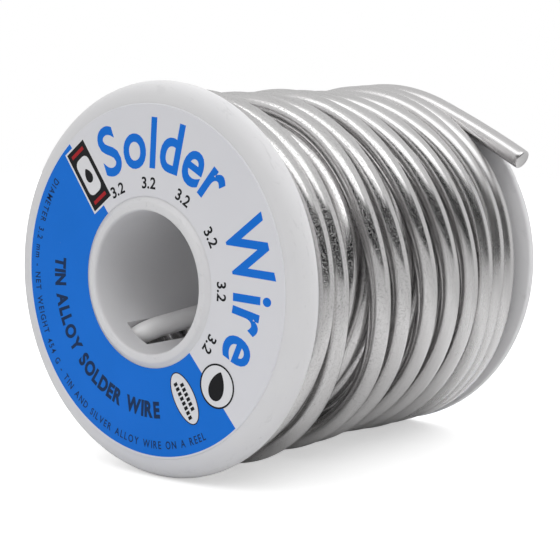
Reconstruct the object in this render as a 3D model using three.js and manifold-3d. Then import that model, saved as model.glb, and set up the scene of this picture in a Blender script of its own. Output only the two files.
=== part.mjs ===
// Solder wire spool: a reel moulded in two halves, wound with one length of heavy solder wire.
// Millimetres, +Z up.  The bore runs along Y and the printed front face looks towards -Y.
// The origin is on the bore's axis, midway between the two faces.  The reel lies on its rims.

import * as THREE from 'three';
import { mergeVertices } from 'three/addons/utils/BufferGeometryUtils.js';
import Module from 'manifold-3d';

const wasm = await Module();
wasm.setup();

// --- Driving dimensions -------------------------------------------------------------------

const SEGMENTS = 56;                    // flats round every turned piece, one of them underneath

const FLANGE_RADIUS = 29;
const FACE_Y = 30.8;                    // half the width over the two flange faces
const FLANGE_THICKNESS = 3.2;
const RIM_ROUND = [3.2, 2.8];           // rounding of the flange's outer corner, in radius and in Y
const LIP_RISE = 0.7;                   // how far the bore's lip stands out of the face
const LIP_CREST_RADII = [10.9, 11.6];   // the flat ring on top of the lip
const LIP_FOOT_RADIUS = 12.2;

const BORE_RADIUS = 10;
const BARREL_RADIUS = 12;               // outside of the barrel that the wire is wound on

const SPIGOT_LENGTH = 6;                // the rear half's spigot, inside the front half's socket
const SPIGOT_RADIUS = 10.9;
const JOINT_CLEARANCE = 0.15;
const JOINT_GAP = 0.3;                  // between the barrel ends where the halves meet

const SLOT_ANGLE = -124;                // the wire slot's middle, in degrees from +X towards +Z
const SLOT_WIDTH = 5.2;
const SLOT_LENGTH = 19.6;

const LABEL_RADII = [12.4, 25.7];
const LABEL_THICKNESS = 0.15;
const LABEL_GAP = 0.02;                 // glue line between the label and the flange

const WIRE_DIAMETER = 3.175;            // eighth-inch wire
const LAYER_PITCH = 3.2;                // from one layer of wire to the next
const LAYER_COUNT = 5;
const LAYER_GAP = 0.1;
const FLANGE_GAP = 0.3;                 // between the winding and each flange
const OUTER_TURNS = 10;                 // the outer layer is wound loosely
const VALLEY_DEPTH = 1.8;               // between two turns of the outer layer
const CREST_WIDTH = 2;
const FREE_TURN_Y = 25.5;               // the last turn, which rides above its layer
const FREE_TURN_RADIUS = 28;
const FREE_ARC = [110, 63];             // where that turn starts and where it leaves the winding
const FREE_LENGTH = 17.3;               // straight wire after it has left

const START_ANGLE = -127.5;             // the wire's start, laid along the bore
const START_ROUTE = [[10.2, -25.6], [10.2, -23.5], [9.5, -19.5], [8.7, -14.5], [8.3, -11.5],
  [8.3, -8], [8.3, -2]];                // radius and Y, from the slot to the cut end

const INNER_FACE_Y = FACE_Y - FLANGE_THICKNESS;
const WIRE_RADIUS = WIRE_DIAMETER / 2;
const TUBE_SIDES = 8;

const plastic = { color: 0xe9e8ea, roughness: 0.32, metalness: 0 };
const paper = { color: 0x1f66cf, roughness: 0.45, metalness: 0 };
const solder = { color: 0xc9c9c6, roughness: 0.25, metalness: 1 };

// --- Helpers ------------------------------------------------------------------------------

const object = new THREE.Group();

function addPiece(name, geometry, material) {
  const piece = new THREE.Mesh(geometry, new THREE.MeshStandardMaterial(material));
  piece.name = name;
  object.add(piece);
}

// A point at a radius and an angle round the bore, at a given Y.
function around(radius, degrees, y) {
  const angle = THREE.MathUtils.degToRad(degrees);
  return new THREE.Vector3(radius * Math.cos(angle), y, radius * Math.sin(angle));
}

// Turns a closed outline of [radius, y] corners, given anticlockwise, round the bore's axis.
function turn(corners) {
  const outline = corners.map(([radius, y]) => new THREE.Vector2(radius, y));
  outline.push(outline[0].clone());
  const geometry = new THREE.LatheGeometry(outline, SEGMENTS);
  return geometry.rotateY(Math.PI / SEGMENTS);
}

function ring(innerRadius, outerRadius, lowY, highY) {
  return turn([[innerRadius, lowY], [outerRadius, lowY], [outerRadius, highY], [innerRadius, highY]]);
}

// Corners along an arc from one angle to another about a centre.
function arc(centreRadius, centreY, sizeRadius, sizeY, fromDegrees, toDegrees, steps) {
  const corners = [];
  for (let i = 0; i <= steps; i += 1) {
    const angle = THREE.MathUtils.degToRad(fromDegrees + (toDegrees - fromDegrees) * i / steps);
    corners.push([centreRadius + sizeRadius * Math.cos(angle), centreY + sizeY * Math.sin(angle)]);
  }
  return corners;
}

// Mirrors an outline to the other end of the reel and keeps it anticlockwise.
function mirrored(corners) {
  return corners.map(([radius, y]) => [radius, -y]).reverse();
}

function tube(points, stepCount) {
  const section = new THREE.Shape(Array.from({ length: TUBE_SIDES }, (_, i) => {
    const angle = 2 * Math.PI * i / TUBE_SIDES;
    return new THREE.Vector2(WIRE_RADIUS * Math.cos(angle), WIRE_RADIUS * Math.sin(angle));
  }));
  const path = new THREE.CatmullRomCurve3(points, false, 'centripetal');
  return new THREE.ExtrudeGeometry(section, { extrudePath: path, steps: stepCount, bevelEnabled: false });
}

function toSolid(geometry) {
  const bare = geometry.clone();
  bare.deleteAttribute('normal');
  bare.deleteAttribute('uv');
  const welded = mergeVertices(bare);
  return new wasm.Manifold(new wasm.Mesh({
    numProp: 3,
    vertProperties: welded.attributes.position.array,
    triVerts: new Uint32Array(welded.index.array),
  }));
}

function toGeometry(solid) {
  const { vertProperties, triVerts } = solid.getMesh();
  const geometry = new THREE.BufferGeometry();
  geometry.setAttribute('position', new THREE.BufferAttribute(vertProperties, 3));
  geometry.setIndex(new THREE.BufferAttribute(triVerts, 1));
  geometry.computeVertexNormals();
  return geometry;
}

// --- The reel -----------------------------------------------------------------------------

// One end of the reel, from the barrel's outside round the flange and the lip to the bore.
function flangeOutline() {
  const lipTop = FACE_Y + LIP_RISE;
  return [
    [BARREL_RADIUS, INNER_FACE_Y],
    [FLANGE_RADIUS - 0.4, INNER_FACE_Y],
    ...arc(FLANGE_RADIUS - RIM_ROUND[0], FACE_Y - RIM_ROUND[1], ...RIM_ROUND, 0, 90, 5),
    [LIP_FOOT_RADIUS, FACE_Y],
    [LIP_CREST_RADII[1], lipTop],
    ...arc(LIP_CREST_RADII[0], lipTop - 2, LIP_CREST_RADII[0] - BORE_RADIUS, 2, 90, 180, 3),
  ];
}

// The rear half ends in a spigot that slides into the front half.
function rearHalf() {
  return turn([
    [BORE_RADIUS, -SPIGOT_LENGTH],
    [SPIGOT_RADIUS, -SPIGOT_LENGTH],
    [SPIGOT_RADIUS, JOINT_GAP / 2],
    [BARREL_RADIUS, JOINT_GAP / 2],
    ...flangeOutline(),
  ]);
}

// The wire's first turn passes through a slot in the barrel, next to the flange.
function wireSlot() {
  const depth = 2 * (BARREL_RADIUS - BORE_RADIUS) + 2;
  const slot = new THREE.BoxGeometry(depth, SLOT_LENGTH, SLOT_WIDTH);
  slot.translate((BORE_RADIUS + BARREL_RADIUS) / 2, SLOT_LENGTH / 2 - INNER_FACE_Y, 0);
  return slot.rotateY(-THREE.MathUtils.degToRad(SLOT_ANGLE));
}

function frontHalf() {
  const socketRadius = SPIGOT_RADIUS + JOINT_CLEARANCE;
  const socketEnd = SPIGOT_LENGTH + JOINT_GAP;
  const half = turn([
    ...mirrored(flangeOutline()),
    [BARREL_RADIUS, -JOINT_GAP / 2],
    [socketRadius, -JOINT_GAP / 2],
    [socketRadius, -socketEnd],
    [BORE_RADIUS, -socketEnd],
  ]);
  return toGeometry(toSolid(half).subtract(toSolid(wireSlot())));
}

function label() {
  const innerY = FACE_Y + LABEL_GAP;
  return ring(...LABEL_RADII, innerY, innerY + LABEL_THICKNESS);
}

// --- The wire -----------------------------------------------------------------------------

const WINDING_END_Y = INNER_FACE_Y - FLANGE_GAP;

function innerLayer(index) {
  const low = BARREL_RADIUS + LAYER_GAP + index * LAYER_PITCH;
  return ring(low, low + LAYER_PITCH - LAYER_GAP, -WINDING_END_Y, WINDING_END_Y);
}

// The outer layer has a rounded crest for each turn, and is lower under the riding last turn.
function outerLayer() {
  const low = BARREL_RADIUS + LAYER_GAP + (LAYER_COUNT - 1) * LAYER_PITCH;
  const crest = low + LAYER_PITCH - LAYER_GAP;
  const valley = crest - VALLEY_DEPTH;
  const crestsEnd = FREE_TURN_Y - WIRE_RADIUS;
  const pitch = (crestsEnd + WINDING_END_Y) / OUTER_TURNS;
  const corners = [[low, -WINDING_END_Y], [valley, -WINDING_END_Y]];
  for (let i = 0; i < OUTER_TURNS; i += 1) {
    const middle = -WINDING_END_Y + (i + 0.5) * pitch;
    corners.push([crest, middle - CREST_WIDTH / 2], [crest, middle + CREST_WIDTH / 2]);
    corners.push([valley, middle + pitch / 2]);
  }
  corners.push([valley, WINDING_END_Y], [low, WINDING_END_Y]);
  return turn(corners);
}

function startTail() {
  return tube(START_ROUTE.map(([radius, y]) => around(radius, START_ANGLE, y)), 12);
}

function freeEnd() {
  const [from, to] = FREE_ARC;
  const arcSteps = 6;
  const points = [];
  for (let i = 0; i <= arcSteps; i += 1) {
    points.push(around(FREE_TURN_RADIUS, from + (to - from) * i / arcSteps, FREE_TURN_Y));
  }
  const leaving = around(FREE_TURN_RADIUS, to, FREE_TURN_Y);
  const direction = around(1, to - 90, 0);
  for (const share of [0.33, 0.67, 1]) {
    points.push(leaving.clone().addScaledVector(direction, FREE_LENGTH * share));
  }
  return tube(points, 18);
}

// --- Assembly -----------------------------------------------------------------------------

addPiece('reel_front_half', frontHalf(), plastic);
addPiece('reel_rear_half', rearHalf(), plastic);
addPiece('rear_label', label(), paper);
addPiece('front_label', label().rotateX(Math.PI), paper);
for (let i = 0; i < LAYER_COUNT - 1; i += 1) {
  addPiece(`wire_layer_${i + 1}`, innerLayer(i), solder);
}
addPiece(`wire_layer_${LAYER_COUNT}`, outerLayer(), solder);
addPiece('wire_start_tail', startTail(), solder);
addPiece('wire_free_end', freeEnd(), solder);

export default object;
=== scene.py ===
"""Solder wire spool: the looks of the reel, its printed labels and its one length of wire.

Sizes are in millimetres until a mesh is made; the bore runs along Y and the printed face looks to -Y.
"""
import math

import bpy
import bmesh
import numpy as np
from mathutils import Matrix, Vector


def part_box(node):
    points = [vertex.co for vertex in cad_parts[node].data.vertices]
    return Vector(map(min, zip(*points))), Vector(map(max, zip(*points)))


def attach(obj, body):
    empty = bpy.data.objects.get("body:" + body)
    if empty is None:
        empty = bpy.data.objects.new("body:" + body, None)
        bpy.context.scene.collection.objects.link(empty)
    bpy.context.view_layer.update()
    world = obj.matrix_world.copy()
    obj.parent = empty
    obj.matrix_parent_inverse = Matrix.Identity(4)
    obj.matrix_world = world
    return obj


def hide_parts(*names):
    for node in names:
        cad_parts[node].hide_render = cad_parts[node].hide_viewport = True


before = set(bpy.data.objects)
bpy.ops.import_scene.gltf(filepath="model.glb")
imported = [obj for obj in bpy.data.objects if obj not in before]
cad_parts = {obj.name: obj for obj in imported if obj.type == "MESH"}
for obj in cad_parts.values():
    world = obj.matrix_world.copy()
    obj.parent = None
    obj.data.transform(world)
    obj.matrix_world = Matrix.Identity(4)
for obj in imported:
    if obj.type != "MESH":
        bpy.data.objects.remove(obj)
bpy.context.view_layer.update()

MM = 0.001
scene = bpy.context.scene


# --- Camera ---------------------------------------------------------------------------------

CAMERA_PLACE = (0.1482, -0.1796, 0.0239)
CAMERA_AZIMUTH = math.radians(39.69)    # of the view direction, from +Y towards -X
CAMERA_TILT = math.radians(6.42)        # below the horizon

camera_data = bpy.data.cameras.new("camera")
camera_data.sensor_width = 36
camera_data.lens = 93.9
camera_data.clip_start = 0.01
camera_data.clip_end = 20
camera = bpy.data.objects.new("camera", camera_data)
scene.collection.objects.link(camera)
camera.location = CAMERA_PLACE
view = Vector((-math.sin(CAMERA_AZIMUTH) * math.cos(CAMERA_TILT),
               math.cos(CAMERA_AZIMUTH) * math.cos(CAMERA_TILT), -math.sin(CAMERA_TILT)))
camera.rotation_euler = view.to_track_quat("-Z", "Y").to_euler()
scene.camera = camera


# --- Sizes read from the frame, in millimetres ----------------------------------------------

def size(node, axis, end):
    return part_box(node)[end][axis] / MM


FLANGE_R = -size("reel_front_half", 2, 0)
LIP_TOP = -size("reel_front_half", 1, 0)
LABEL_R = -size("front_label", 2, 0) + 0.05     # the CAD label's flats lie inside its true radius
LABEL_BACK = -size("front_label", 1, 1)
LABEL_FRONT = -size("front_label", 1, 0)
WIRE_R = (size("wire_free_end", 1, 1) - size("wire_free_end", 1, 0)) / 2
LAYER_R = [size(f"wire_layer_{i}", 0, 1) - WIRE_R for i in range(1, 6)]
FREE_Y = (size("wire_free_end", 1, 1) + size("wire_free_end", 1, 0)) / 2
TAIL_Y = size("wire_start_tail", 1, 1)

BORE_R = 10.0
BARREL_R = 12.0
BARREL_FILLET = 0.5                     # where the barrel meets the flange
FACE_Y = 30.8
INNER_Y = 27.6                          # the flange's inner face
MID_FLANGE_R = 20.0
INNER_EDGE_ROUND = 0.4                  # of the flange's inner corner
RIM_ROUND = (3.2, 2.8)                  # of the flange's outer corner, in radius and in y
LIP_FOOT = 12.2
LIP_CREST = (10.7, 11.6)                # radii of the flat ring on top of the lip
LIP_INNER_ROUND = (0.35, 0.7)           # in radius and in y

SPIGOT_R = 10.9                         # the rear half's spigot goes into the front half's socket
SOCKET_CLEARANCE = 0.1
SEAM_Y = -6.0                           # the seam that shows in the bore
SEAM_GAP = 0.06
SEAM_ROUND = 0.08
BARREL_END_Y = 0.1                      # each half's barrel stops this far from the middle

SLOT_ANGLE = math.radians(-124)         # the wire's slot, from +X towards +Z
SLOT_WIDTH = 5.2
SLOT_LENGTH = 19.6
SLOT_CORNER = 1.2

LABEL_INNER_R = 12.4
LABEL_EDGE = 0.12                       # bevel of the paper's edges
GLUE_DEPTH = 0.03                       # the paper reaches this far into its glue


# --- Mesh helpers ---------------------------------------------------------------------------

def add_object(name, mesh):
    obj = bpy.data.objects.new(name, mesh)
    scene.collection.objects.link(obj)
    return obj


def mesh_object(name, points, faces, sharp_degrees=30):
    """An object from points in millimetres, shaded smooth except at its sharp edges."""
    mesh = bpy.data.meshes.new(name)
    mesh.from_pydata([tuple(float(c) * MM for c in p) for p in points], [], faces)
    mesh.validate()
    mesh.shade_smooth()
    mesh.set_sharp_from_angle(angle=math.radians(sharp_degrees))
    return add_object(name, mesh)


def arc(centre, radius, start, end, steps):
    """Points along a flat arc, from one angle in degrees to another."""
    return [(centre[0] + radius * math.cos(a), centre[1] + radius * math.sin(a))
            for a in np.radians(np.linspace(start, end, steps + 1))]


def lathe(name, outline, segments=256, sharp_degrees=30):
    """A closed outline of (radius, y) corners, anticlockwise, turned round the bore's axis."""
    points, faces = [], []
    count = len(outline)
    for i in range(segments):
        a = 2 * math.pi * (i + 0.5) / segments - math.pi / 2
        points += [(r * math.cos(a), y, r * math.sin(a)) for r, y in outline]
    for i in range(segments):
        j = (i + 1) % segments
        for k in range(count):
            m = (k + 1) % count
            faces.append((i * count + k, j * count + k, j * count + m, i * count + m))
    return mesh_object(name, points, faces, sharp_degrees)


# --- The reel -------------------------------------------------------------------------------

def flange_outline():
    """From the barrel's outside round the flange and its lip to the bore, at the +Y end."""
    crest_in, crest_out = LIP_CREST
    return [
        *arc((BARREL_R + BARREL_FILLET, INNER_Y - BARREL_FILLET), BARREL_FILLET, 180, 90, 4),
        (MID_FLANGE_R, INNER_Y),
        *arc((FLANGE_R - INNER_EDGE_ROUND, INNER_Y + INNER_EDGE_ROUND), INNER_EDGE_ROUND, -90, 0, 5)[:-1],
        *[(FLANGE_R - RIM_ROUND[0] * (1 - math.cos(a)), FACE_Y - RIM_ROUND[1] * (1 - math.sin(a)))
          for a in np.linspace(0, math.pi / 2, 16)],
        # The fillet at the lip's foot, its slope and the rounding of its outer edge.
        (LIP_FOOT + 0.35, FACE_Y), (LIP_FOOT + 0.1, FACE_Y + 0.05), (LIP_FOOT - 0.15, FACE_Y + 0.2),
        (crest_out + 0.2, LIP_TOP - 0.18), (crest_out + 0.02, LIP_TOP - 0.05), (crest_out - 0.2, LIP_TOP),
        (crest_in, LIP_TOP),
        *[(crest_in + LIP_INNER_ROUND[0] * math.cos(a), LIP_TOP - LIP_INNER_ROUND[1] * (1 - math.sin(a)))
          for a in np.radians(range(98, 181, 8))],
    ]


def mirrored(outline):
    return [(r, -y) for r, y in reversed(outline)]


def rear_half():
    """The rear half's spigot shows in the bore up to the seam."""
    return lathe("rear_reel_half", [
        *arc((BORE_R + SEAM_ROUND, SEAM_Y + SEAM_ROUND), SEAM_ROUND, 180, 270, 2),
        (SPIGOT_R, SEAM_Y), (SPIGOT_R, BARREL_END_Y), (BARREL_R, BARREL_END_Y),
        *flange_outline(),
    ])


def front_half():
    socket_r, socket_y = SPIGOT_R + SOCKET_CLEARANCE, SEAM_Y - SEAM_GAP
    half = lathe("front_reel_half", [
        *mirrored(flange_outline()),
        (BARREL_R, -BARREL_END_Y), (socket_r, -BARREL_END_Y), (socket_r, socket_y),
        *arc((BORE_R + SEAM_ROUND, socket_y - SEAM_ROUND), SEAM_ROUND, 90, 180, 2),
    ])
    cut_slot(half)
    return half


def cut_slot(part):
    """Cuts the rounded slot that the wire's first turn comes through."""
    half, low, high = SLOT_WIDTH / 2, -INNER_Y - 0.001, -INNER_Y + SLOT_LENGTH
    loop = [(half, low), *arc((half - SLOT_CORNER, high - SLOT_CORNER), SLOT_CORNER, 0, 90, 6),
            *arc((SLOT_CORNER - half, high - SLOT_CORNER), SLOT_CORNER, 90, 180, 6), (-half, low)]
    out = Vector((math.cos(SLOT_ANGLE), 0, math.sin(SLOT_ANGLE)))
    side = Vector((-math.sin(SLOT_ANGLE), 0, math.cos(SLOT_ANGLE)))
    reach = (BORE_R - 2.5, BARREL_R + 1.5)
    points = [out * depth + side * s + Vector((0, y, 0)) for depth in reach for s, y in loop]
    n = len(loop)
    faces = [tuple(range(n)), tuple(reversed(range(n, 2 * n)))]
    faces += [(k, k + n, (k + 1) % n + n, (k + 1) % n) for k in range(n)]
    cutter = mesh_object("slot_cutter", points, faces)
    bm = bmesh.new()
    bm.from_mesh(cutter.data)
    bmesh.ops.recalc_face_normals(bm, faces=bm.faces)
    bm.to_mesh(cutter.data)
    bm.free()
    cut = part.modifiers.new("slot", "BOOLEAN")
    cut.operation, cut.object, cut.solver = "DIFFERENCE", cutter, "EXACT"
    mesh = bpy.data.meshes.new_from_object(part.evaluated_get(bpy.context.evaluated_depsgraph_get()))
    part.modifiers.remove(cut)
    part.data = mesh
    mesh.shade_smooth()
    mesh.set_sharp_from_angle(angle=math.radians(30))
    bpy.data.objects.remove(cutter)


# --- The labels -----------------------------------------------------------------------------

LEVELS = (0.015, 0.03, 0.045, 0.06, 0.075)     # heights of the print's layers above the paper
INK_REACH = 0.004                       # how far each layer of ink reaches into the one below it
PAPER_REACH = 0.01                      # and the first layer's shapes into the paper


def label_sheet(name, side):
    low, high = LABEL_BACK - GLUE_DEPTH, LABEL_FRONT
    outline = [(LABEL_INNER_R, low), (LABEL_R, low), (LABEL_R, high - LABEL_EDGE),
               (LABEL_R - LABEL_EDGE, high), (LABEL_INNER_R + LABEL_EDGE, high),
               (LABEL_INNER_R, high - LABEL_EDGE)]
    return lathe(name, outline if side > 0 else mirrored(outline))


class Print:
    """One ink on one label: flat closed shapes, drawn in the label's own x and height."""

    def __init__(self, name, side):
        self.name, self.side, self.bm = name, side, bmesh.new()

    def place(self, x, h, up):
        """A point x to the right and h up as the label is read, up out of the paper."""
        return Vector((-x * self.side, self.side * (LABEL_FRONT + up), h)) * MM

    def close(self, fronts, level):
        """Gives flat faces at a level their thickness."""
        bm = self.bm
        bmesh.ops.recalc_face_normals(bm, faces=fronts)
        done = bmesh.ops.extrude_face_region(bm, geom=fronts, use_keep_orig=True)
        moved = [g for g in done["geom"] if isinstance(g, bmesh.types.BMVert)]
        depth = LEVELS[level] - LEVELS[level - 1] + INK_REACH if level else LEVELS[0] + PAPER_REACH
        bmesh.ops.translate(bm, verts=moved, vec=(0, -self.side * depth * MM, 0))

    def polygon(self, outline, level):
        bm = self.bm
        verts = [bm.verts.new(self.place(x, h, LEVELS[level])) for x, h in outline]
        self.close([bm.faces.new(verts)], level)

    def strip(self, inner, outer, level, closed=False):
        """The area between two rows of as many points each."""
        bm = self.bm
        a = [bm.verts.new(self.place(x, h, LEVELS[level])) for x, h in inner]
        b = [bm.verts.new(self.place(x, h, LEVELS[level])) for x, h in outer]
        steps = len(a) if closed else len(a) - 1
        faces = [bm.faces.new((a[i], b[i], b[(i + 1) % len(a)], a[(i + 1) % len(a)]))
                 for i in range(steps)]
        self.close(faces, level)

    def glyph(self, letter, body, bold, narrow, x, h, turn, level):
        """One rigid letter with its baseline's middle at (x, h)."""
        mesh, _ = glyph_mesh(letter, body, bold)
        c, s = math.cos(turn), math.sin(turn)
        start = len(self.bm.verts)
        self.bm.from_mesh(mesh)
        self.bm.verts.ensure_lookup_table()
        foot = (LEVELS[level - 1] if level else 0) - INK_REACH
        for v in self.bm.verts[start:]:
            gx, gy = v.co.x * narrow, v.co.y
            up = LEVELS[level] if v.co.z > 0 else foot
            v.co = self.place(x + gx * c - gy * s, h + gx * s + gy * c, up)

    def finish(self, material):
        bm = self.bm
        bmesh.ops.recalc_face_normals(bm, faces=bm.faces)
        mesh = bpy.data.meshes.new(self.name)
        bm.to_mesh(mesh)
        bm.free()
        obj = add_object(self.name, mesh)
        mesh.materials.append(material)
        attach(obj, "root")
        return obj


glyphs = {}


def glyph_mesh(letter, body, bold):
    """A letter's mesh, centred on x = 0 with its baseline at 0, and its width."""
    key = (letter, body, bold)
    if key not in glyphs:
        curve = bpy.data.curves.new("glyph", "FONT")
        curve.body, curve.size, curve.extrude, curve.offset = letter, body, 0.01, bold
        curve.resolution_u = 5
        obj = add_object("glyph", curve)
        mesh = bpy.data.meshes.new_from_object(obj.evaluated_get(bpy.context.evaluated_depsgraph_get()))
        bpy.data.objects.remove(obj)
        xs = [v.co.x for v in mesh.vertices]
        middle, width = (max(xs) + min(xs)) / 2, max(xs) - min(xs)
        for v in mesh.vertices:
            v.co.x -= middle
        bm = bmesh.new()
        bm.from_mesh(mesh)
        bmesh.ops.remove_doubles(bm, verts=bm.verts, dist=body * 1e-4)
        bm.to_mesh(mesh)
        bm.free()
        glyphs[key] = (mesh, width)
    return glyphs[key]


def write_round(ink, text, radius, start, end, body, bold, level, tops_out=True, narrow=1.0):
    """Sets rigid letters on an arc from one angle to the other, spread to fill it exactly."""
    space, half_height = 0.3 * body, 0.36 * body
    widths = [(space if ch == " " else glyph_mesh(ch, body, bold)[1]) * narrow for ch in text]
    middle = radius + (half_height if tops_out else -half_height)
    span = math.radians(end - start) * middle
    gap = (abs(span) - sum(widths)) / (len(text) - 1)
    direction = 1 if span > 0 else -1
    along = 0.0
    for ch, width in zip(text, widths):
        angle = math.radians(start) + direction * (along + width / 2) / middle
        if ch != " ":
            turn = angle - math.pi / 2 if tops_out else angle + math.pi / 2
            x, h = radius * math.cos(angle), radius * math.sin(angle)
            ink.glyph(ch, body, bold, narrow, x, h, turn, level)
        along += width + gap


def ring_points(radius, start, end, count, centre=(0, 0)):
    return arc(centre, radius, start, end, count - 1)


def whole_ring(radius, count, centre=(0, 0)):
    return ring_points(radius, 0, 360 * (1 - 1 / count), count, centre)


def slanted(outline, centre, degrees):
    """An outline turned about its own middle and moved to a centre."""
    c, s = math.cos(math.radians(degrees)), math.sin(math.radians(degrees))
    return [(centre[0] + x * c - y * s, centre[1] + x * s + y * c) for x, y in outline]


def shifted(outline, x, y=0.0):
    return [(a + x, b + y) for a, b in outline]


def box_outline(width, height, corner=0.0):
    a, b = width / 2 - corner, height / 2 - corner
    if not corner:
        return [(-a, -b), (a, -b), (a, b), (-a, b)]
    points = []
    for (x, y), start in (((a, -b), -90), ((a, b), 0), ((-a, b), 90), ((-a, -b), 180)):
        points += ring_points(corner, start, start + 90, 6, (x, y))
    return points


def droplet(height, width):
    """A drop with its tip up, centred on the origin."""
    return [(width / 2 * math.sin(t) * math.cos(t / 2) ** 0.6, -height / 2 * math.cos(t))
            for t in np.linspace(-math.pi, math.pi, 40, endpoint=False)]


def ellipse(width, height, steps=48):
    return [(width / 2 * math.cos(t), height / 2 * math.sin(t))
            for t in np.linspace(0, 2 * math.pi, steps, endpoint=False)]


# --- The wire -------------------------------------------------------------------------------

def step(t):
    t = np.clip(t, 0, 1)
    return t * t * (3 - 2 * t)


def smooth(knots, at):
    """A smooth curve through knots of (position, value)."""
    x, v = np.array(sorted(knots), float).T
    slope = np.diff(v) / np.diff(x)
    tangent = np.concatenate([[slope[0]], (slope[:-1] + slope[1:]) / 2, [slope[-1]]])
    i = np.clip(np.searchsorted(x, at) - 1, 0, len(x) - 2)
    h = x[i + 1] - x[i]
    t = (at - x[i]) / h
    return ((2 * t ** 3 - 3 * t ** 2 + 1) * v[i] + (t ** 3 - 2 * t ** 2 + t) * h * tangent[i]
            + (3 * t ** 2 - 2 * t ** 3) * v[i + 1] + (t ** 3 - t ** 2) * h * tangent[i + 1])


# The wire is wound towards smaller angles. "turned" counts degrees of winding, and is a whole
# number of turns when the wire passes the side at +X.
INNER_TURNS = (13, 13, 13, 12)
END_Y = 25.9                            # where each inner layer turns back
CROSSING = 50                           # half the arc in which the wire crosses to the next turn
START_TURNED = 140

# The outer turns: y where each passes 60, 20, -10 and -40 degrees, then its radius on top and below.
PLACE_ANGLES = (60, 20, -10, -40)
OUTER = [
    ((-24.7, -23.5, -23.7, -24.7), 26.3, 26.9),
    ((-21.1, -20.5, -20.0, -18.6), 26.3, 27.2),
    ((-11.4, -11.5, -9.9, -7.7), 25.95, 27.0),
    ((-6.9, -6.5, -4.8, -3.0), 26.0, 26.85),
    ((-1.1, 0.0, 2.2, 3.7), 26.5, 26.55),
    ((4.4, 6.2, 8.1, 9.0), 26.4, 26.8),
    ((9.9, 11.7, 13.3, 14.0), 26.35, 27.15),
    ((15.0, 17.0, 17.5, 19.0), 26.45, 27.2),
    ((19.4, 20.8, 20.65, 22.0), 27.25, 27.2),
    ((22.6, 23.7, 23.85, 24.9), 27.45, 27.2),
]
FRONT_R = 26.4                          # radius of the outer turns at +X
BACK_R = 26.5                           # and at -X
BEFORE_FREE_R = 26.8                    # at the back, before the last turn
FREE_ON_TOP = 27.45                     # radius of the last turn where it comes to the top
FREE_LEAVES = (63, 28.0)                # angle and radius where it leaves the winding
FREE_LENGTH = 17.7
FREE_SAG = 0.9

START_ANGLE = -127.5                    # the wire's start lies along the bore at this angle
START_ROUTE = [(8.3, TAIL_Y), (8.3, -8), (8.3, -11.5), (8.7, -14.5), (9.5, -19.5), (10.2, -23.5)]
START_BEND = [(10.9, -127.8, -25.2), (12.4, -130.5, -25.95)]    # through the slot: radius, angle, y
CUT_ROUND = 0.35                        # rounding of the wire's cut ends


def winding(turned):
    """Radius and y at each amount of turning, then where the outer layer starts and the winding ends."""
    radius = np.full_like(turned, LAYER_R[0])
    y = np.full_like(turned, -END_Y)
    turn, heading = 1, 1
    for layer, turns in enumerate(INNER_TURNS):
        pitch = 2 * END_Y / (turns - 1)
        for _ in range(turns - 1):
            y += heading * pitch * step((turned - 360 * turn + CROSSING) / (2 * CROSSING))
            turn += 1
        if layer < 3:
            radius += (LAYER_R[layer + 1] - LAYER_R[layer]) * step(
                (turned - 360 * turn + CROSSING) / (2 * CROSSING))
            turn += 1
        heading = -heading
    outer_start = 360 * (turn - 1)
    climb = outer_start + 160           # the wire climbs to the outer layer beside the front flange
    y_knots, r_knots = [(climb, -END_Y), (climb + 50, -END_Y)], [(climb, LAYER_R[3]), (climb + 100, BACK_R)]
    for i, (places, top, below) in enumerate(OUTER):
        base = 360 * (turn + i)
        y_knots += [(base - a, place) for a, place in zip(PLACE_ANGLES, places)]
        r_knots += [(base - 88, top), (base - 45, (top + FRONT_R) / 2), (base, FRONT_R),
                    (base + 70, below), (base + 180, BACK_R)]
    # The first outer turn stays by the flange until it is past the back.
    y_knots += [(360 * turn + 48, -25.3), (360 * turn + 100, -25.5), (360 * turn + 200, -23.8)]
    base = 360 * (turn + len(OUTER))
    y_knots += [(base - 200, 25.2), (base - 110, FREE_Y), (base, FREE_Y)]
    r_knots[-1] = (base - 190, BEFORE_FREE_R)
    r_knots += [(base - 110, FREE_ON_TOP), (base - FREE_LEAVES[0], FREE_LEAVES[1])]
    outer = turned > climb
    y[outer] = smooth(y_knots, turned[outer])
    radius[outer] = smooth(r_knots, turned[outer])
    return radius, y, outer_start, base - FREE_LEAVES[0]


def around(radius, degrees, y):
    a = np.radians(degrees)
    return np.stack([radius * np.cos(a), np.broadcast_to(y, np.shape(a)), radius * np.sin(a)], -1)


def wave(at, seed, longest, amount):
    """A small smooth wander along the wire."""
    rng = np.random.default_rng(seed)
    total = np.zeros_like(at)
    for k in range(6):
        total += np.sin(2 * np.pi * at * (k + 1) ** 0.8 / longest + rng.uniform(0, 2 * np.pi)) / (k + 1)
    return amount * total


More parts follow.
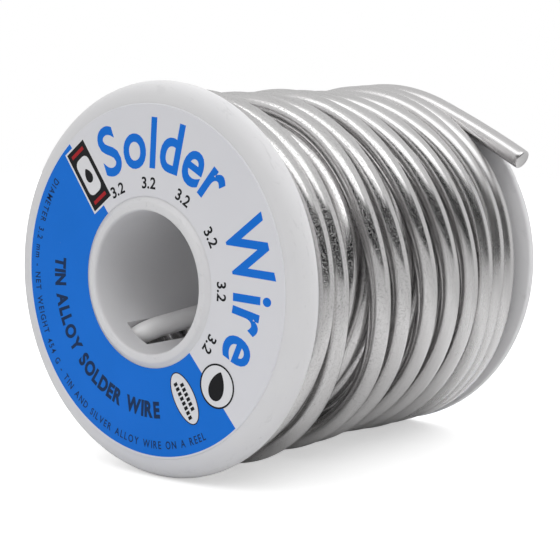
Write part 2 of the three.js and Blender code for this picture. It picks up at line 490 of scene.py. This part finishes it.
def wire_path():
    """Every ring centre of the wire in millimetres, and the direction away from the bore."""
    _, _, outer_start, end = winding(np.array([0.0]))
    nearly_outer = 360 * sum(INNER_TURNS[:3])
    turned = np.concatenate([np.arange(START_TURNED, nearly_outer, 9.0),
                             np.arange(nearly_outer, outer_start, 4.5),
                             np.arange(outer_start, end, 2.25), [end]])
    radius, y, _, _ = winding(turned)
    loose = np.clip((turned - outer_start) / 400, 0.15, 1)
    hold = 1 - np.clip((turned - end + 300) / 300, 0, 1)
    y = y + wave(turned, 3, 331.0, 0.045) * loose * hold
    radius = radius + wave(turned, 8, 247.0, 0.03) * loose * hold
    coil = around(radius, -turned, y)
    corners = [around(r, START_ANGLE, y) for r, y in START_ROUTE]
    corners += [around(*bend) for bend in START_BEND]
    corners = np.array([*corners, coil[0], coil[1]])
    run = distance_along(corners)
    at = np.arange(0, run[-2], 0.5)
    tail = np.stack([smooth(list(zip(run, corners[:, k])), at) for k in range(3)], -1)
    leaving = coil[-1] - coil[-2]
    leaving /= np.linalg.norm(leaving)
    out = np.linspace(0, FREE_LENGTH, 22)[1:, None]
    down = -np.cross(leaving, [0, 1, 0])
    free = coil[-1] + leaving * out + down * (FREE_SAG * (out / FREE_LENGTH) ** 2)
    points = np.concatenate([tail, coil, free])
    angle = np.arctan2(points[:, 2], points[:, 0])
    outward = np.stack([np.cos(angle), np.zeros_like(angle), np.sin(angle)], -1)
    return points, outward


def distance_along(points):
    return np.concatenate([[0], np.cumsum(np.linalg.norm(np.diff(points, axis=0), axis=1))])


def wire_rings(points, outward):
    """Centre, outward and sideways directions, radius and distance along, for every ring."""
    tangent = np.gradient(points, axis=0)
    tangent /= np.linalg.norm(tangent, axis=1)[:, None]
    across = np.cross(tangent, outward)
    across /= np.linalg.norm(across, axis=1)[:, None]
    out = np.cross(across, tangent)
    run = distance_along(points)
    rings = []
    for a in np.radians([75, 50, 25]):
        inset = CUT_ROUND * (1 - math.sin(a))
        rings.append((points[0] + tangent[0] * inset, out[0], across[0],
                      WIRE_R - CUT_ROUND * (1 - math.cos(a)), CUT_ROUND * (math.cos(a) - 1)))
    for i in range(1, len(points) - 1):
        rings.append((points[i], out[i], across[i], WIRE_R, run[i]))
    for a in np.radians([25, 50, 75]):
        inset = CUT_ROUND * (1 - math.sin(a))
        rings.append((points[-1] - tangent[-1] * inset, out[-1], across[-1],
                      WIRE_R - CUT_ROUND * (1 - math.cos(a)), run[-1]))
    return rings


def wire_object(name, points, outward, sides=20):
    """The wire with rounded ends, and UVs in metres along it and round it."""
    rings = wire_rings(points, outward)
    turn = np.radians(180 + np.arange(sides) * 360 / sides)
    verts = np.concatenate([c + r * (np.cos(turn)[:, None] * o + np.sin(turn)[:, None] * s)
                            for c, o, s, r, _ in rings])
    last = len(rings) - 1
    faces, uvs = [], []
    girth = 2 * math.pi * WIRE_R * MM
    for i in range(last):
        for j in range(sides):
            k = (j + 1) % sides
            faces.append((i * sides + j, i * sides + k, (i + 1) * sides + k, (i + 1) * sides + j))
            u0, u1 = rings[i][4] * MM, rings[i + 1][4] * MM
            v0, v1 = j / sides * girth, (j + 1) / sides * girth
            uvs.append(((u0, v0), (u0, v1), (u1, v1), (u1, v0)))
    for ring, centre in ((0, points[0]), (last, points[-1])):
        hub = len(verts)
        verts = np.concatenate([verts, centre[None]])
        for j in range(sides):
            pair = (ring * sides + j, ring * sides + (j + 1) % sides)
            faces.append((hub, *(pair if ring else reversed(pair))))
            uvs.append([(rings[ring][4] * MM, 0.0)] * 3)
    obj = mesh_object(name, verts, faces, sharp_degrees=60)
    bm = bmesh.new()
    bm.from_mesh(obj.data)
    bmesh.ops.recalc_face_normals(bm, faces=bm.faces)
    layer = bm.loops.layers.uv.new("along")
    for face in bm.faces:
        uv_at = dict(zip(faces[face.index], uvs[face.index]))
        for loop in face.loops:
            loop[layer].uv = uv_at[loop.vert.index]
    bm.to_mesh(obj.data)
    bm.free()
    return obj


# --- Materials ------------------------------------------------------------------------------

class Look:
    """A material built node by node."""

    def __init__(self, name, **sockets):
        self.material = bpy.data.materials.new(name)
        self.material.use_nodes = True
        self.tree = self.material.node_tree
        self.shader = self.tree.nodes["Principled BSDF"]
        for socket, value in sockets.items():
            self.shader.inputs[socket.replace("_", " ")].default_value = value

    def node(self, kind, **values):
        made = self.tree.nodes.new("ShaderNode" + kind)
        for key, value in values.items():
            setattr(made, key, value)
        return made

    def link(self, source, target):
        self.tree.links.new(source, target)

    def feed(self, target, value):
        if hasattr(value, "is_output"):
            self.link(value, target)
        else:
            target.default_value = value

    def coordinates(self, kind="Object", scale=(1, 1, 1)):
        place = self.node("Mapping")
        self.link(self.node("TexCoord").outputs[kind], place.inputs["Vector"])
        place.inputs["Scale"].default_value = scale
        return place.outputs["Vector"]

    def noise(self, scale, detail=3, rough=0.55, where=None, distortion=0.0):
        made = self.node("TexNoise")
        self.link(where or self.coordinates(), made.inputs["Vector"])
        made.inputs["Scale"].default_value = scale
        made.inputs["Detail"].default_value = detail
        made.inputs["Roughness"].default_value = rough
        made.inputs["Distortion"].default_value = distortion
        return made.outputs["Fac"]

    def range(self, value, low, high, to_low=0.0, to_high=1.0, kind="LINEAR"):
        made = self.node("MapRange", interpolation_type=kind)
        self.link(value, made.inputs["Value"])
        for socket, v in (("From Min", low), ("From Max", high), ("To Min", to_low), ("To Max", to_high)):
            made.inputs[socket].default_value = v
        return made.outputs["Result"]

    def math(self, operation, a, b=0.0):
        made = self.node("Math", operation=operation)
        self.feed(made.inputs[0], a)
        self.feed(made.inputs[1], b)
        return made.outputs[0]

    def mix(self, share, a, b):
        """Between two colours; a Mix node's colours are its inputs 6 and 7."""
        made = self.node("Mix", data_type="RGBA")
        self.feed(made.inputs["Factor"], share)
        self.feed(made.inputs[6], a if hasattr(a, "is_output") else (*a, 1))
        self.feed(made.inputs[7], b if hasattr(b, "is_output") else (*b, 1))
        return made.outputs[2]

    def blend(self, share, first, second):
        """Between two shaders."""
        made = self.node("MixShader")
        self.feed(made.inputs[0], share)
        self.link(first, made.inputs[1])
        self.link(second, made.inputs[2])
        return made.outputs[0]

    def place(self, kind="Object"):
        """The three coordinates, each on its own."""
        split = self.node("SeparateXYZ")
        self.link(self.coordinates(kind), split.inputs[0])
        return split.outputs

    def distance(self, axes):
        """Distance from the origin in the given axes, in metres."""
        flat = self.node("VectorMath", operation="MULTIPLY")
        self.link(self.node("TexCoord").outputs["Object"], flat.inputs[0])
        flat.inputs[1].default_value = axes
        length = self.node("VectorMath", operation="LENGTH")
        self.link(flat.outputs[0], length.inputs[0])
        return length.outputs["Value"]

    def bump(self, height, strength, distance):
        made = self.node("Bump")
        self.link(height, made.inputs["Height"])
        made.inputs["Strength"].default_value = strength
        made.inputs["Distance"].default_value = distance
        self.link(made.outputs["Normal"], self.shader.inputs["Normal"])


def plastic():
    """White polystyrene, scuffed on the rims and on the lips."""
    look = Look("reel_plastic", IOR=1.49, Specular_IOR_Level=0.45)
    broad = look.noise(60, 4)
    fine = look.noise(1400, 3)
    radius = look.distance((1, 0, 1))
    rim = look.range(radius, 26.5 * MM, 28.9 * MM, kind="SMOOTHSTEP")
    lip = look.math("MULTIPLY", look.range(radius, 13.0 * MM, 11.2 * MM, kind="SMOOTHSTEP"),
                    look.range(radius, 10.3 * MM, 10.6 * MM))
    worn = look.math("MAXIMUM", rim, lip)
    scratches = look.range(look.noise(260, 5, 0.7, look.coordinates(scale=(1, 4, 1)), 1.5), 0.56, 0.66)
    scuffs = look.math("MULTIPLY", worn, scratches)
    tone = look.mix(look.range(broad, 0.35, 0.65), (0.715, 0.712, 0.726), (0.735, 0.732, 0.742))
    tone = look.mix(look.math("MULTIPLY", scuffs, 0.35), tone, (0.52, 0.52, 0.53))
    look.link(tone, look.shader.inputs["Base Color"])
    rough = look.math("ADD", look.range(fine, 0.3, 0.7, 0.30, 0.38), look.math("MULTIPLY", scuffs, 0.2))
    look.link(rough, look.shader.inputs["Roughness"])
    height = look.math("ADD", look.math("MULTIPLY", fine, 0.35), look.math("MULTIPLY", scuffs, -0.5))
    look.bump(height, 0.25, 0.00006)
    return look.material


def ink(name, colour, worn_colour, roughness=0.42):
    """Ink or coated paper, a little uneven, with a few rubbed specks."""
    look = Look(name, IOR=1.47, Specular_IOR_Level=0.15)
    broad = look.noise(90, 3)
    grain = look.noise(3200, 2)
    tone = look.mix(look.range(broad, 0.3, 0.7), colour, worn_colour)
    speck = look.range(look.noise(900, 5, 0.75), 0.70, 0.74)
    tone = look.mix(look.math("MULTIPLY", speck, 0.5), tone, (0.45, 0.47, 0.55))
    look.link(tone, look.shader.inputs["Base Color"])
    rough = look.range(grain, 0.3, 0.7, roughness - 0.05, roughness + 0.06)
    look.link(rough, look.shader.inputs["Roughness"])
    look.bump(grain, 0.15, 0.00002)
    return look.material


def solder():
    """Drawn solder: streaks along it, pits and specks towards the front, duller towards the rear."""
    look = Look("solder_wire", Metallic=1.0)
    streaks = look.noise(1, 4, 0.6, look.coordinates("UV", (150, 2600, 1)))
    long_streaks = look.noise(1, 3, 0.5, look.coordinates("UV", (25, 900, 1)))
    pits = look.noise(6000, 3, 0.6)
    dull = look.range(look.noise(140, 3), 0.35, 0.68)
    along, y = look.place("UV")[0], look.place()[1]
    # The first stretch, in the bore, is whitened and made matt so that it reads bright there: a painted
    # highlight in place of the reflection it would show.
    painted_bright_stretch = look.range(along, 0.024, 0.034, 1.0, 0.0, "SMOOTHSTEP")
    pitted = look.range(y, -12 * MM, 16 * MM, 1.0, 0.25, "SMOOTHSTEP")
    specks = look.math("MULTIPLY", look.range(pits, 0.55, 0.63), pitted)
    tone = look.mix(look.range(streaks, 0.3, 0.7), (0.84, 0.83, 0.83), (0.78, 0.77, 0.77))
    tone = look.mix(look.math("MULTIPLY", specks, 0.3), tone, (0.30, 0.295, 0.29))
    # Painted highlight: the stretch in the bore is whitened towards near white.
    tone = look.mix(look.math("MULTIPLY", painted_bright_stretch, 0.8), tone, (0.97, 0.965, 0.965))
    look.link(tone, look.shader.inputs["Base Color"])
    metallic = look.math("SUBTRACT", 1.0, look.math("MULTIPLY", painted_bright_stretch, 0.9))
    look.link(metallic, look.shader.inputs["Metallic"])
    rear_dull = look.range(y, -5 * MM, 26 * MM, 0.0, 0.12, "SMOOTHSTEP")
    rough = look.math("ADD", look.range(streaks, 0.3, 0.7, 0.125, 0.18), look.math("MULTIPLY", dull, 0.05))
    rough = look.math("ADD", rough, rear_dull)
    rough = look.math("ADD", rough, look.math("MULTIPLY", painted_bright_stretch, 0.25))
    look.link(rough, look.shader.inputs["Roughness"])
    long_height = look.math("MULTIPLY", long_streaks, 0.8)
    height = look.math("ADD", look.math("MULTIPLY", streaks, 0.45), long_height)
    height = look.math("MULTIPLY", height, look.range(y, 6 * MM, 22 * MM, 1.0, 0.4))
    height = look.math("ADD", height, look.math("MULTIPLY", specks, -0.62))
    look.bump(height, 0.6, 0.00004)
    return look.material


def floor_material(room_level, glossy_dimming):
    """White to the camera and pale to the light, with a faint shadow under the reel."""
    look = Look("floor")
    look.tree.nodes.remove(look.shader)

    def matt(level):
        made = look.node("BsdfDiffuse")
        made.inputs["Color"].default_value = (level, level, level, 1)
        return made.outputs[0]

    def glow(level):
        made = look.node("Emission")
        made.inputs["Color"].default_value = (1, 1, 1, 1)
        made.inputs["Strength"].default_value = level
        return made.outputs[0]

    away = look.distance((1, 1, 0))
    seen = look.node("AddShader")
    far = look.range(away, 0.05, 0.16, kind="SMOOTHSTEP")
    look.link(look.blend(far, matt(0.8), glow(1.0)), seen.inputs[0])
    look.link(glow(0.5), seen.inputs[1])
    lighting = look.blend(look.range(away, 0.04, 0.12, kind="SMOOTHSTEP"), matt(0.85), glow(room_level))
    rays = look.node("LightPath")
    dimmed = look.math("MULTIPLY", rays.outputs["Is Glossy Ray"], glossy_dimming)
    lighting = look.blend(dimmed, lighting, matt(0.0))
    surface = look.blend(rays.outputs["Is Camera Ray"], lighting, seen.outputs[0])
    look.link(surface, look.tree.nodes["Material Output"].inputs["Surface"])
    return look.material


# --- Assembly -------------------------------------------------------------------------------

reel_rear, reel_front = rear_half(), front_half()

path, outward = wire_path()
wire = wire_object("solder_wire", path, outward)
wire.data.materials.append(solder())
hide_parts(*[f"wire_layer_{i}" for i in range(1, 6)], "wire_start_tail", "wire_free_end")
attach(wire, "root")

reel_plastic = plastic()
for half, node in ((reel_front, "reel_front_half"), (reel_rear, "reel_rear_half")):
    half.data.materials.clear()
    half.data.materials.append(reel_plastic)
    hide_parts(node)
    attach(half, "root")

paper = ink("label_paper", (0.73, 0.73, 0.765), (0.745, 0.745, 0.775), 0.36)
blue = ink("print_blue", (0.004, 0.165, 0.68), (0.006, 0.175, 0.72))
navy = ink("print_navy", (0.008, 0.03, 0.09), (0.01, 0.036, 0.11))
black = ink("print_black", (0.01, 0.01, 0.012), (0.016, 0.016, 0.018))
red = ink("print_red", (0.42, 0.015, 0.02), (0.38, 0.02, 0.025))
white = ink("print_white", (0.78, 0.78, 0.80), (0.75, 0.75, 0.775))

for side, node in ((-1, "front_label"), (1, "rear_label")):
    sheet = label_sheet(node + "_sheet", side)
    sheet.data.materials.append(paper)
    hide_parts(node)
    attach(sheet, "root")

BLUE_SECTOR = (129.6, 311.0)            # degrees, on the front label
NUMBER_ANGLES = (114, 88, 60, 30, -1, -33)
BADGE = ((-11.9, 15.1), -54.0)          # middle and slant of the dark badge
ROUND_MARK = (13.45, -13.55)
OVAL_MARK = ((7.25, -16.05), -58.0)


def print_front_label():
    """One mesh for each ink. The print sits a little off the bore's centre."""
    blue_print = Print("front_blue_print", -1)
    blue_print.strip(ring_points(LABEL_INNER_R + 0.08, *BLUE_SECTOR, 160, (0.05, 0.05)),
                     ring_points(25.4, *BLUE_SECTOR, 160, (0.2, 0.1)), 0)
    write_round(blue_print, "Solder Wire", 16.7, 117, -31, 10.1, 0.2, 0, narrow=0.87)
    blue_print.finish(blue)

    navy_print = Print("front_navy_print", -1)
    write_round(navy_print, "TIN ALLOY SOLDER WIRE", 19.6, 172, 277, 3.15, 0.15, 1, tops_out=False,
                narrow=0.8)
    write_round(navy_print, "DIAMETER 3.2 mm - NET WEIGHT 454 G - TIN AND SILVER ALLOY WIRE ON A REEL",
                24.2, 143, 298, 1.6, 0.02, 1, tops_out=False, narrow=0.8)
    navy_print.finish(navy)

    white_print = Print("front_white_print", -1)
    white_print.polygon(slanted(box_outline(10.55, 4.85), *BADGE), 1)
    white_print.polygon(slanted(ellipse(7.9, 4.0), *OVAL_MARK), 1)
    white_print.polygon(slanted(ellipse(6.0, 6.0), ROUND_MARK, 0), 1)
    white_print.finish(white)

    black_print = Print("front_black_print", -1)
    black_print.polygon(slanted(box_outline(9.95, 4.25), *BADGE), 2)
    for angle in NUMBER_ANGLES:
        write_round(black_print, "3.2", 13.6, angle + 5.5, angle - 5.5, 2.3, 0.05, 0)
    black_print.strip(whole_ring(2.95, 48, ROUND_MARK), whole_ring(3.2, 48, ROUND_MARK), 2, closed=True)
    black_print.strip(slanted(ellipse(7.8, 3.9), *OVAL_MARK), slanted(ellipse(8.1, 4.2), *OVAL_MARK), 2,
                      closed=True)
    black_print.polygon(slanted(droplet(4.4, 3.3), ROUND_MARK, -20), 2)
    for row, start, end in ((0.6, -2.1, 2.1), (-0.5, -2.7, 2.7)):
        for x in np.arange(start, end, 0.75):
            dash = shifted(box_outline(0.5, 0.7), x + 0.25, row)
            black_print.polygon(slanted(dash, *OVAL_MARK), 2)
    black_print.polygon(slanted(droplet(2.3, 1.7), BADGE[0], 36), 4)
    black_print.finish(black)

    panel_print = Print("front_mark_print", -1)
    panel_print.polygon(slanted(box_outline(6.0, 2.9, 1.0), *BADGE), 3)
    panel_print.finish(white)

    red_print = Print("front_red_print", -1)
    for x in (-4.0, 4.0):
        red_print.polygon(slanted(shifted(box_outline(0.55, 2.9), x), *BADGE), 3)
    red_print.finish(red)


def print_rear_label():
    rear_blue = Print("rear_blue_print", 1)
    rear_blue.strip(whole_ring(24.4, 144), whole_ring(25.65, 144), 0, closed=True)
    rear_blue.strip(ring_points(LABEL_INNER_R + 0.05, 200, 340, 120), ring_points(24.4, 200, 340, 120), 0)
    write_round(rear_blue, "Solder Wire", 16.6, 146, 34, 7.0, 0.17, 0, narrow=0.9)
    rear_blue.finish(blue)

    rear_navy = Print("rear_navy_print", 1)
    write_round(rear_navy, "TIN ALLOY 3.2 mm", 19.6, 225, 315, 3.1, 0.04, 1, tops_out=False)
    rear_navy.finish(navy)


print_front_label()
print_rear_label()


# --- Floor and light ------------------------------------------------------------------------

ROOM = 0.78
SOFTBOX = 1.35
SIDE_BOX = 1.2
BACK_BOX = 2.0
DARK_FILL = 0.95                        # how much of the dark side is lit for matt surfaces
FLOOR_HALF = 900

floor_points = [(x * FLOOR_HALF, y * FLOOR_HALF, -FLANGE_R)
                for x, y in ((-1, -1), (1, -1), (1, 1), (-1, 1))]
floor = mesh_object("floor", floor_points, [(0, 1, 2, 3)])
floor.data.materials.append(floor_material(room_level=0.72, glossy_dimming=0.22))


def studio_world():
    """A grey room with one dark side under a wide softbox, and two lights for matt surfaces only."""
    world = bpy.data.worlds.new("studio")
    world.use_nodes = True
    scene.world = world
    tree = world.node_tree
    tree.nodes.clear()

    def node(kind, **values):
        made = tree.nodes.new("ShaderNode" + kind)
        for key, value in values.items():
            setattr(made, key, value)
        return made

    def math_node(operation, a, b=0.0):
        made = node("Math", operation=operation)
        for socket, v in zip(made.inputs, (a, b)):
            if hasattr(v, "is_output"):
                tree.links.new(v, socket)
            else:
                socket.default_value = v
        return made.outputs[0]

    def ramp(value, low, high, to_low=0.0, to_high=1.0):
        made = node("MapRange", interpolation_type="SMOOTHSTEP")
        tree.links.new(value, made.inputs["Value"])
        for socket, v in (("From Min", low), ("From Max", high), ("To Min", to_low), ("To Max", to_high)):
            made.inputs[socket].default_value = v
        return made.outputs["Result"]

    rays = node("LightPath")
    split = node("SeparateXYZ")
    tree.links.new(node("TexCoord").outputs["Generated"], split.inputs[0])
    x, y, z = split.outputs
    flat = math_node("SQRT", math_node("ADD", math_node("MULTIPLY", x, x), math_node("MULTIPLY", y, y)))
    flat = math_node("MAXIMUM", flat, 0.0001)

    def sector(middle, half, soft):
        """1 within so many degrees of an azimuth, counted from +Y towards +X."""
        a = math.radians(middle)
        toward_x, toward_y = math_node("MULTIPLY", x, math.sin(a)), math_node("MULTIPLY", y, math.cos(a))
        cosine = math_node("DIVIDE", math_node("ADD", toward_x, toward_y), flat)
        return ramp(cosine, math.cos(math.radians(half + soft)), math.cos(math.radians(half - soft)))

    def height(low, high, soft, low_soft=None):
        """1 between two elevations."""
        under = low_soft or soft
        s = [math.sin(math.radians(a)) for a in (low - under, low + under, high - soft, high + soft)]
        return math_node("MULTIPLY", ramp(z, s[0], s[1]), ramp(z, s[2], s[3], 1.0, 0.0))

    dark = math_node("MULTIPLY", sector(127, 58, 6), height(-20, 35, 3, 7))
    box = math_node("MULTIPLY", sector(152, 66, 8), height(39, 66, 7))
    side_box = math_node("MULTIPLY", sector(112, 24, 6), height(34, 60, 1.5))
    back_box = math_node("MULTIPLY", sector(-15, 75, 15), height(22, 75, 6))
    scattered = rays.outputs["Is Diffuse Ray"]
    back_box = math_node("MULTIPLY", back_box, scattered)
    side_box = math_node("MULTIPLY", side_box, scattered)
    soft_dark = math_node("MULTIPLY", scattered, DARK_FILL)
    dark = math_node("MULTIPLY", dark, math_node("SUBTRACT", 1.0, soft_dark))
    level = math_node("ADD", math_node("MULTIPLY", math_node("SUBTRACT", 1.0, dark), ROOM), 0.005)
    for shape, strength in ((box, SOFTBOX), (side_box, SIDE_BOX), (back_box, BACK_BOX)):
        level = math_node("ADD", level, math_node("MULTIPLY", shape, strength))
    room = node("Background")
    tree.links.new(level, room.inputs["Strength"])
    backdrop = node("Background")
    backdrop.inputs["Strength"].default_value = 1.0
    backdrop.inputs["Color"].default_value = (1, 1, 1, 1)
    mixed = node("MixShader")
    tree.links.new(rays.outputs["Is Camera Ray"], mixed.inputs[0])
    tree.links.new(room.outputs[0], mixed.inputs[1])
    tree.links.new(backdrop.outputs[0], mixed.inputs[2])
    tree.links.new(mixed.outputs[0], node("OutputWorld").inputs["Surface"])


studio_world()
scene.view_settings.view_transform = "Standard"
